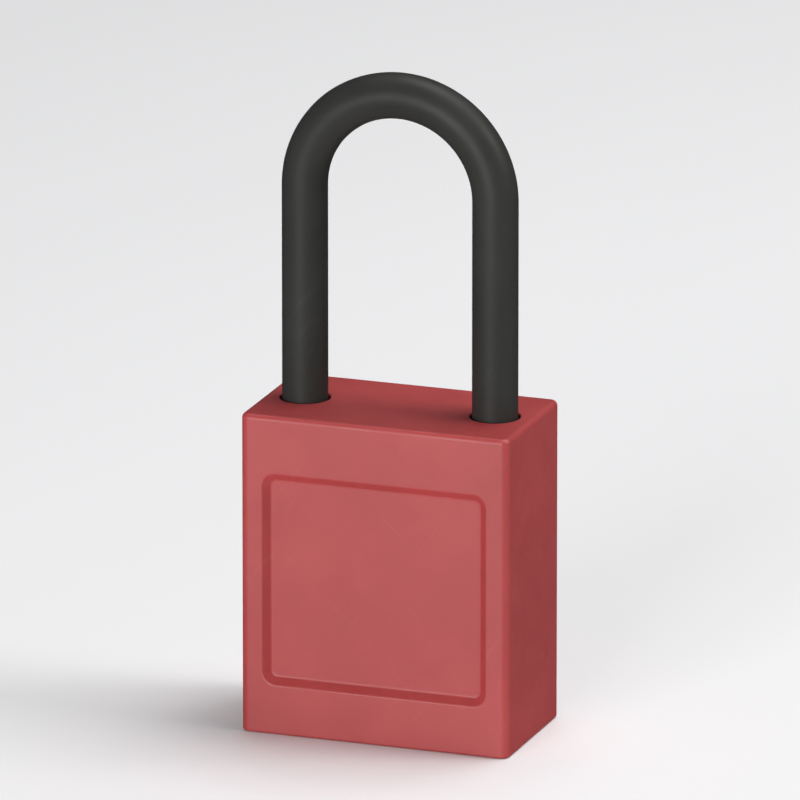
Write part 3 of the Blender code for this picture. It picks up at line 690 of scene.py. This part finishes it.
# ---------------------------------------------------------------- underside


def bottom_cap():
    low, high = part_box("bottom_cap")
    outline = rounded_rectangle(high.x, high.y, CAVITY_R, 4)
    cap = solid("bottom_cap_moulding", plate(outline, low.z, high.z, 0.25 * MM, 0.2 * MM))
    top = high.z + REACH
    nose = hole_profile(NOSE_R + SEAM, -top, REACH, 0, 0.3 * MM)
    cutters = [solid("cut_nose", turned_mesh(nose, 96), upside_down())]
    sink_r, sink_floor, shank_r = 3.05 * MM, 1.6 * MM, 1.3 * MM
    sink = [(0, -REACH), (sink_r, -REACH), (shank_r, sink_floor), (shank_r, top), (0, top)]
    mark_r, mark_depth = 1.1 * MM, 0.08 * MM  # of the marks that the mould's ejector pins leave
    mark = hole_profile(mark_r, -mark_depth, REACH, 0, mark_depth / 2)
    for name in CAP_SCREWS:
        middle = middle_of(name)
        cutters.append(solid("cut_" + name, turned_mesh(sink, 48), at(middle.x, middle.y)))
        cutters.append(solid("cut_pin_mark", turned_mesh(mark, 40), upside_down(middle.x, -middle.y)))
    combined(cap, "DIFFERENCE", *cutters)
    return piece(cap, "bottom_cap", RED)


def cross_cutter(half_length, half_width, depth):
    """A cross recess that narrows as it goes in, its mouth at z 0 and its point below."""
    rings = []
    for height, share in ((-depth, 0.35), (-depth * 0.6, 0.72), (0, 1.0), (REACH, 1.0)):
        arm, side = half_length * share, half_width * max(share, 0.8)
        half = [(arm, -side), (arm, side), (side, side), (side, arm), (-side, arm), (-side, side)]
        rings.append(flat_ring(half + [(-x, -y) for x, y in half], height))
    return tube_mesh(rings)


def threaded(radius, low, high, pitch, depth):
    """The (radius, height) points of a thread's outline, seen as rings, from low to high."""
    points = []
    count = int((high - low) / pitch)
    for turn in range(count):
        base = low + pitch * turn
        points += [(radius - depth, base), (radius, base + pitch * 0.45), (radius, base + pitch * 0.6)]
    points.append((radius - depth, low + pitch * count))
    return points


def cap_screw(name):
    low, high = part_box(name)
    middle = middle_of(name)
    face, head_r, shank_r = low.z, high.x - middle.x, 1.0 * MM
    rim, head_depth, thread_start, tip = 0.15 * MM, 1.3 * MM, 2.2 * MM, 0.9 * MM
    pitch, thread_depth = 0.45 * MM, 0.16 * MM
    head = [(0, face), (head_r, face), (head_r, face + rim), (shank_r, face + head_depth)]
    profile = softened(head, 0.08 * MM) + [(shank_r, face + thread_start - 0.2 * MM)]
    profile += threaded(shank_r, face + thread_start, high.z - tip, pitch, thread_depth)
    profile += [(0.25 * MM, high.z - 0.1 * MM), (0, high.z)]
    screw = solid(name.replace("cap", "countersunk"), turned_mesh(profile, 48), at(middle.x, middle.y))
    cross = cross_cutter(1.05 * MM, 0.22 * MM, 0.8 * MM)
    combined(screw, "DIFFERENCE", solid("cut_cross", cross, upside_down(middle.x, middle.y, face)))
    return piece(screw, name, STEEL)


# ---------------------------------------------------------------- cylinder


def pin_heights():
    """The height of each pin stack, from the bottom one up."""
    return [middle_of(f"key_pin_{index}").z for index in range(1, PIN_COUNT + 1)]


def pin_bores(low_x, high_x):
    bore = hole_profile(PIN_BORE_R, low_x, high_x)
    return solid("cut_pin_bores", joined((turned_mesh(bore, 36), along_x(z)) for z in pin_heights()))


def housing():
    face, top = HOUSING_LOW.z, HOUSING_HIGH.z
    barrel = [(0, face), (NOSE_R, face), (NOSE_R, NOSE_TOP), (BARREL_R, NOSE_TOP), (BARREL_R, top), (0, top)]
    body = solid("cylinder_body", turned_mesh(softened(barrel, 0.2 * MM), 96))
    ridge_x = HOUSING_HIGH.x
    ridge = [(0, -RIDGE_Y), (ridge_x, -RIDGE_Y), (ridge_x, RIDGE_Y), (0, RIDGE_Y)]
    ridge_low = NOSE_TOP + SEAM
    ridge_top = top - 0.02 * MM  # just under the barrel's top, so that the two don't meet in one face
    combined(body, "UNION", solid("ridge", plate(ridge, ridge_low, ridge_top, 0.2 * MM, 0.2 * MM)))
    seat, head_r, core_r, lead_in = PLUG_HEAD_TOP + 0.2 * MM, PLUG_HEAD_R + RUN, PLUG_R + RUN, 0.15 * MM
    bore = [(0, -REACH), (head_r + REACH, -REACH), (head_r + lead_in, face), (head_r, face + lead_in)]
    bore += [(head_r, seat), (core_r, seat), (core_r, top + REACH), (0, top + REACH)]
    cover_low, cover_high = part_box("chamber_cover")
    slot_x, slot_y = cover_low.x - 0.1 * MM, cover_high.y + RUN
    groove = [(slot_x, -slot_y), (ridge_x + REACH, -slot_y), (ridge_x + REACH, slot_y), (slot_x, slot_y)]
    stay = hole_profile(STAY_R + RUN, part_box("cylinder_screw")[0].z - RUN, top + REACH)
    combined(
        body,
        "DIFFERENCE",
        solid("cut_bore", turned_mesh(bore, 96)),
        pin_bores(PLUG_R - REACH, ridge_x + REACH),
        solid("cut_groove", plate(groove, cover_low.z - RUN, cover_high.z + RUN)),
        solid("cut_stay", turned_mesh(stay, 40), at(LEG_X)),
    )
    return piece(body, "cylinder_housing", ZINC)


def chamber_cover():
    low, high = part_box("chamber_cover")
    outline = rounded_rectangle((high.x - low.x) / 2, high.y, 0.1 * MM, 2)
    strip = plate(outline, low.z, high.z, 0.1 * MM, 0.1 * MM)
    made = solid("pin_chamber_strip", strip, at((low.x + high.x) / 2))
    return piece(made, "chamber_cover", BRASS)


def plug():
    face = PLUG_LOW.z
    clip_low, clip_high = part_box("plug_clip")
    groove_low, groove_high = clip_low.z - 0.1 * MM, clip_high.z + 0.1 * MM
    disc_top = groove_high + 0.7 * MM
    groove_r, disc_r = 4.0 * MM, 4.6 * MM
    dish, dish_r, lip_r = 0.25 * MM, 3.9 * MM, 4.3 * MM
    profile = [(0, face + dish), (dish_r, face + dish), (lip_r, face), (PLUG_HEAD_R, face)]
    profile += [(PLUG_HEAD_R, PLUG_HEAD_TOP), (PLUG_R, PLUG_HEAD_TOP), (PLUG_R, groove_low)]
    profile += [(groove_r, groove_low), (groove_r, groove_high), (disc_r, groove_high)]
    profile += [(disc_r, disc_top), (0, disc_top)]
    core = solid("lock_plug", turned_mesh(softened(profile, 0.12 * MM), 96))
    tang = [(-3.0, -1.2), (3.0, -1.2), (3.0, 1.2), (-3.0, 1.2)]
    tang = [(x * MM, y * MM) for x, y in tang]
    combined(core, "UNION", solid("tang", plate(tang, groove_high, PLUG_HIGH.z, 0, 0.25 * MM)))
    keyway = [(-4.2, -1.1), (-0.6, -1.1), (-0.6, -0.5), (1.2, -0.5), (1.2, -0.9), (3.4, -0.9), (3.4, 0.5)]
    keyway += [(2.2, 0.5), (2.2, 1.1), (-1.6, 1.1), (-1.6, 0.4), (-4.2, 0.4)]
    keyway = [(x * MM, y * MM) for x, y in keyway]
    keyway_top, flare = 24.0 * MM, 0.12 * MM
    mouth = grown(keyway, flare)
    rings = [flat_ring(keyway, keyway_top), flat_ring(keyway, face + dish + flare)]
    rings += [flat_ring(mouth, face + dish - PAST), flat_ring(mouth, -REACH)]
    combined(core, "DIFFERENCE", solid("cut_keyway", tube_mesh(rings)), pin_bores(-1.5 * MM, PLUG_R + REACH))
    return piece(core, "plug", BRASS)


def plug_clip():
    low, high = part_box("plug_clip")
    inner, outer, gap = 4.15 * MM, 6.1 * MM, math.radians(70)
    steps = 60
    angles = [gap / 2 + (2 * math.pi - gap) * step / steps for step in range(steps + 1)]
    ring = [(outer * math.cos(a), outer * math.sin(a)) for a in angles]
    ring += [(inner * math.cos(a), inner * math.sin(a)) for a in reversed(angles)]
    made = solid("plug_circlip", plate(ring, low.z, high.z, 0.1 * MM, 0.1 * MM, 2))
    return piece(made, "plug_clip", SPRING_STEEL)


def key_pin(index, height):
    """A key pin: a bullet tip towards the key, and a crowned end at the shear line."""
    low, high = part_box(f"key_pin_{index}")
    tip, point_r, crown = 0.75 * MM, 0.25 * MM, 0.25 * MM
    profile = [(0, low.x), (point_r, low.x), (PIN_R, low.x + tip), (PIN_R, high.x - crown)]
    profile += [(PIN_R - crown, high.x), (0, high.x)]
    made = solid(f"bottom_pin_{index}", turned_mesh(softened(profile, 0.2 * MM), 40), along_x(height))
    return piece(made, f"key_pin_{index}", PIN_BRASS)


def driver_pin(index, height):
    """A driver pin, waisted in the middle."""
    low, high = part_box(f"driver_pin_{index}")
    edge, waist, slope = 0.2 * MM, 0.25 * MM, 0.35 * MM
    waist_start, waist_end = low.x + 1.1 * MM, high.x - 0.9 * MM
    profile = [(0, low.x), (PIN_R - edge, low.x), (PIN_R, low.x + edge), (PIN_R, waist_start)]
    profile += [(PIN_R - waist, waist_start + slope), (PIN_R - waist, waist_end - slope)]
    profile += [(PIN_R, waist_end), (PIN_R, high.x - edge), (PIN_R - edge, high.x), (0, high.x)]
    made = solid(f"spool_pin_{index}", turned_mesh(softened(profile, 0.12 * MM), 40), along_x(height))
    return piece(made, f"driver_pin_{index}", STEEL)


def coil_mesh(radius, wire_r, low, high, turns, sides=10, steps=30):
    """A compression spring about Z, with a closed turn at each end."""
    rings = []
    count = int(turns * steps)
    span = high - low - 2 * wire_r
    closed = 2.1 * wire_r
    for index in range(count + 1):
        turned = turns * index / count
        if turned < 1:
            height = closed * turned
        elif turned > turns - 1:
            height = span - closed * (turns - turned)
        else:
            height = closed + (span - 2 * closed) * (turned - 1) / (turns - 2)
        angle = 2 * math.pi * turned
        outwards = Vector((math.cos(angle), math.sin(angle), 0))
        centre = outwards * radius + Vector((0, 0, low + wire_r + height))
        ring = []
        for side in range(sides):
            around = 2 * math.pi * side / sides
            spoke = outwards * math.cos(around) + Vector((0, 0, math.sin(around)))
            ring.append(centre + spoke * wire_r)
        rings.append(ring)
    return tube_mesh(rings)


def pin_spring(index, height):
    low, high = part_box(f"pin_spring_{index}")
    coil_r, wire_r, turns = 0.85 * MM, 0.19 * MM, 7
    wire = coil_mesh(coil_r, wire_r, low.x, high.x, turns)
    made = solid(f"driver_spring_{index}", wire, along_x(height))
    return piece(made, f"pin_spring_{index}", SPRING_STEEL)


def blend_by_ring(wire, sides):
    """Pulls each ring of the wire to its middle, bakes the object's place into its mesh, and puts every point
    back.
    """
    points = [vertex.co.copy() for vertex in wire.data.vertices]
    for first in range(0, len(points), sides):
        middle = sum(points[first : first + sides], Vector()) / sides
        for vertex in wire.data.vertices[first : first + sides]:
            vertex.co = middle
    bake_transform(wire)
    for vertex, point in zip(wire.data.vertices, points):
        vertex.co = point


def shackle_spring():
    """The spring under the long leg, its foot in the carrier."""
    low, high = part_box("shackle_spring")
    coil_r, wire_r, turns, sides = 2.4 * MM, 0.34 * MM, 8, 14
    coil = coil_mesh(coil_r, wire_r, low.z, high.z, turns, sides, steps=44)
    made = dressed(solid("lift_spring", coil, at(-LEG_X)), "shackle_spring", SPRING_STEEL)
    blend_by_ring(made, sides)
    return made


# ---------------------------------------------------------------- carrier, locking block, balls and cam


def inner_carrier():
    low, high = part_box("inner_carrier")
    outline = rounded_rectangle(high.x, high.y, CAVITY_R, 4)
    body = solid("carrier_moulding", plate(outline, low.z, high.z, 0.25 * MM, 0.25 * MM))
    web = HOUSING_HIGH.z + SEAM
    below, above = low.z - REACH, high.z + REACH
    ridge_x, ridge_y = HOUSING_HIGH.x + SEAM, RIDGE_Y + SEAM
    ridge = [(0, -ridge_y), (ridge_x, -ridge_y), (ridge_x, ridge_y), (0, ridge_y)]
    spring_floor = low.z + 1.2 * MM
    channel = hole_profile(LEG_HOLE_R, spring_floor, above, high.z, 0.3 * MM)
    stay = hole_profile(STAY_R + SEAM, web - REACH, above, high.z, 0.2 * MM)
    tail_r, pilot_r = 6.5 * MM, 1.15 * MM  # for the plug's clipped end, and for the cap screws
    tail = hole_profile(tail_r, web - REACH, above, high.z, 0.2 * MM)
    cutters = [
        solid("cut_barrel", turned_mesh(hole_profile(BARREL_R + SEAM, below, web), 96)),
        solid("cut_ridge", plate(ridge, below, web)),
        solid("cut_tail", turned_mesh(tail, 72)),
        solid("cut_channel", turned_mesh(channel), at(-LEG_X)),
        solid("cut_stay", turned_mesh(stay, 40), at(LEG_X)),
    ]
    for name in CAP_SCREWS:
        middle = middle_of(name)
        pilot = hole_profile(pilot_r, below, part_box(name)[1].z + SEAM)
        cutters.append(solid("cut_pilot", turned_mesh(pilot, 32), at(middle.x, middle.y)))
    combined(body, "DIFFERENCE", *cutters)
    return piece(body, "inner_carrier", GREY)


def locking_block():
    low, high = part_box("locking_block")
    outline = rounded_rectangle(high.x, high.y, CAVITY_R, 4)
    block = solid("locking_block_casting", plate(outline, low.z, high.z, 0.25 * MM, 0.25 * MM))
    below, above = low.z - REACH, high.z + REACH
    pocket_floor = SHORT_TIP - 0.6 * MM
    head_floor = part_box("cylinder_screw")[1].z - 1.8 * MM
    stay_r, head_r, lead_in = STAY_R + SEAM, 2.9 * MM, 0.3 * MM
    pocket = [(0, below), (stay_r, below), (stay_r, head_floor), (head_r, head_floor)]
    pocket += [(head_r, pocket_floor), (LEG_HOLE_R, pocket_floor), (LEG_HOLE_R, high.z - lead_in)]
    pocket += [(LEG_HOLE_R + lead_in, high.z), (LEG_HOLE_R + lead_in, above), (0, above)]
    chamber_floor = 35.2 * MM
    hub_r, chamber_r = 4.9 * MM, 7.1 * MM
    mouth_r, bevel = chamber_r + 0.2 * MM, 0.2 * MM
    chamber = [(0, below), (hub_r, below), (hub_r, chamber_floor), (chamber_r, chamber_floor)]
    chamber += [(chamber_r, high.z - bevel), (mouth_r, high.z), (mouth_r, above), (0, above)]
    half = BALL_R + RUN
    bend = [math.pi * step / 24 for step in range(25)]
    round_floor = [(half * math.cos(a), -half * math.sin(a)) for a in bend]
    channel = [(half, above - BALL_Z), (-half, above - BALL_Z)] + round_floor[::-1]
    channel_turn = at(z=BALL_Z, turn=(math.pi / 2, 0, math.pi / 2))
    combined(
        block,
        "DIFFERENCE",
        solid("cut_long", turned_mesh(hole_profile(LEG_HOLE_R, below, above, high.z, lead_in)), at(-LEG_X)),
        solid("cut_short", turned_mesh(pocket), at(LEG_X)),
        solid("cut_chamber", turned_mesh(chamber, 96)),
        solid("cut_channel", plate(channel, -LEG_X, LEG_X), channel_turn),
    )
    return piece(block, "locking_block", ZINC)


def locking_ball(name, side):
    """A bearing ball: a finely divided cube, blown up so that its faces are even all round."""
    cuts = 11
    bm = bmesh.new()
    bmesh.ops.create_cube(bm, size=2)
    bmesh.ops.subdivide_edges(bm, edges=bm.edges, cuts=cuts, use_grid_fill=True)
    for vert in bm.verts:
        even = [math.tan(channel * math.pi / 4) for channel in vert.co]
        vert.co = Vector(even).normalized() * BALL_R
    made = solid(name.replace("locking", "bearing"), bm, at(side * BALL_X, 0, BALL_Z))
    return piece(made, name, BALL_STEEL)


def way_to_circle(offset, centre, radius):
    """How far a ray runs before it meets a circle whose centre is that far out, offset by that angle."""
    across = centre * math.sin(offset)
    if math.cos(offset) <= 0 or abs(across) >= radius:
        return math.inf
    return centre * math.cos(offset) - math.sqrt(radius**2 - across**2)


def cam_outline(points=180, sweep=90):
    """As much of a disc as clears both balls at every angle of the plug."""
    outline = []
    for index in range(points):
        angle = 2 * math.pi * index / points
        radius = BALL_X - BALL_R - RUN
        for step in range(sweep + 1):
            share = step / sweep
            out = BALL_X - BALL_TRAVEL * share
            for start in (0, math.pi):
                offset = angle - (start - PLUG_TURN * share)
                offset = (offset + math.pi) % (2 * math.pi) - math.pi
                radius = min(radius, way_to_circle(offset, out, BALL_R + RUN))
        outline.append((radius * math.cos(angle), radius * math.sin(angle)))
    return outline


def cam():
    low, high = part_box("cam")
    lobe_bottom = 35.5 * MM
    made = solid("cam_casting", plate(cam_outline(), lobe_bottom, high.z, 0.08 * MM, 0.15 * MM))
    hub_r, hub_top = 4.6 * MM, lobe_bottom + 0.1 * MM
    hub = softened([(0, low.z), (hub_r, low.z), (hub_r, hub_top), (0, hub_top)], 0.15 * MM)
    combined(made, "UNION", solid("hub", turned_mesh(hub, 72)))
    slot_x, slot_y = 3.3 * MM, 1.35 * MM
    slot = [(-slot_x, -slot_y), (slot_x, -slot_y), (slot_x, slot_y), (-slot_x, slot_y)]
    slot_top = PLUG_HIGH.z + 0.4 * MM
    combined(made, "DIFFERENCE", solid("cut_slot", plate(slot, low.z - REACH, slot_top)))
    return piece(made, "cam", ZINC)


def cylinder_screw():
    low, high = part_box("cylinder_screw")
    head_r, head_low = high.y, high.z - 1.5 * MM
    thread_end, pitch, thread_depth = head_low - 2.0 * MM, 0.5 * MM, 0.18 * MM
    profile = [(0, low.z), (STAY_R - 0.4 * MM, low.z)]
    profile += threaded(STAY_R, low.z + 0.2 * MM, thread_end, pitch, thread_depth)
    head = [(STAY_R, thread_end + 0.1 * MM), (STAY_R, head_low), (head_r, head_low)]
    profile += softened(head + [(head_r, high.z), (0, high.z)], 0.35 * MM)
    screw = solid("retaining_screw", turned_mesh(profile, 48), at(LEG_X))
    cross = solid("cut_cross", cross_cutter(1.4 * MM, 0.3 * MM, 1.0 * MM), at(LEG_X, 0, high.z))
    combined(screw, "DIFFERENCE", cross)
    return piece(screw, "cylinder_screw", STEEL)


# ---------------------------------------------------------------- stage


def floor():
    """A plain pale floor."""
    radius, drop = 6.0, 0.02 * MM
    bm = bmesh.new()
    bmesh.ops.create_circle(bm, cap_ends=True, radius=radius, segments=96)
    made = solid("floor", bm)
    material, tree, shader, place = new_material("pale_floor", 0.75, 0.0)
    colour = clouded(tree, place, 3.0, 2.0, (0.88, 0.88, 0.89), (0.9, 0.9, 0.91))
    tree.links.new(colour, shader.inputs["Base Color"])
    made.data.materials.append(material)
    made.location.z = -drop
    made.visible_glossy = False  # mirrored in the upright faces, it would make their red paler


def look_from(made, point, azimuth, elevation, distance):
    """Puts a light or the camera at these angles round a point, looking at it. Azimuth 0 is the front."""
    a, e = math.radians(azimuth), math.radians(elevation)
    back = Vector((math.sin(a) * math.cos(e), -math.cos(a) * math.cos(e), math.sin(e)))
    made.location = point + back * distance
    made.rotation_euler = back.to_track_quat("Z", "Y").to_euler()
    bpy.context.scene.collection.objects.link(made)


def soft_light(name, azimuth, elevation, distance, size, energy):
    """A square soft box."""
    light = bpy.data.lights.new(name, "AREA")
    light.shape = "SQUARE"
    light.size = size
    light.energy = energy
    look_from(bpy.data.objects.new(name, light), LIT_POINT, azimuth, elevation, distance)


def camera():
    """The camera, far off with a long lens, looking at the object's middle."""
    data = bpy.data.cameras.new("camera")
    data.lens = VIEW_LENS
    data.sensor_width = 36
    data.clip_end = 100
    eye = bpy.data.objects.new("camera", data)
    low, high = CAD_BOUNDS
    look_from(eye, (low + high) / 2, *VIEW_FROM, VIEW_DISTANCE)
    bpy.context.scene.camera = eye


def surroundings():
    """An even, dim white all round."""
    world = bpy.data.worlds.new("studio")
    world.use_nodes = True
    backdrop = world.node_tree.nodes["Background"]
    backdrop.inputs["Color"].default_value = (0.93, 0.94, 0.96, 1.0)
    backdrop.inputs["Strength"].default_value = 0.06
    bpy.context.scene.world = world
    bpy.context.scene.view_settings.view_transform = "Standard"


camera()
surroundings()
floor()
soft_light("key", azimuth=-6, elevation=4, distance=1.0, size=0.5, energy=11.1)
soft_light("top", azimuth=180, elevation=76, distance=1.0, size=0.6, energy=3.7)
soft_light("fill", azimuth=100, elevation=32, distance=1.1, size=0.5, energy=4.3)
soft_light("back", azimuth=120, elevation=66, distance=1.4, size=0.9, energy=8.9)

body_shell()
shackle()
shackle_retainer()
bottom_cap()
for screw_name in CAP_SCREWS:
    cap_screw(screw_name)
housing()
chamber_cover()
plug()
plug_clip()
for number, z in enumerate(pin_heights(), 1):
    key_pin(number, z)
    driver_pin(number, z)
    pin_spring(number, z)
shackle_spring()
inner_carrier()
locking_block()
locking_ball("locking_ball_short", 1)
locking_ball("locking_ball_long", -1)
cam()
cylinder_screw()
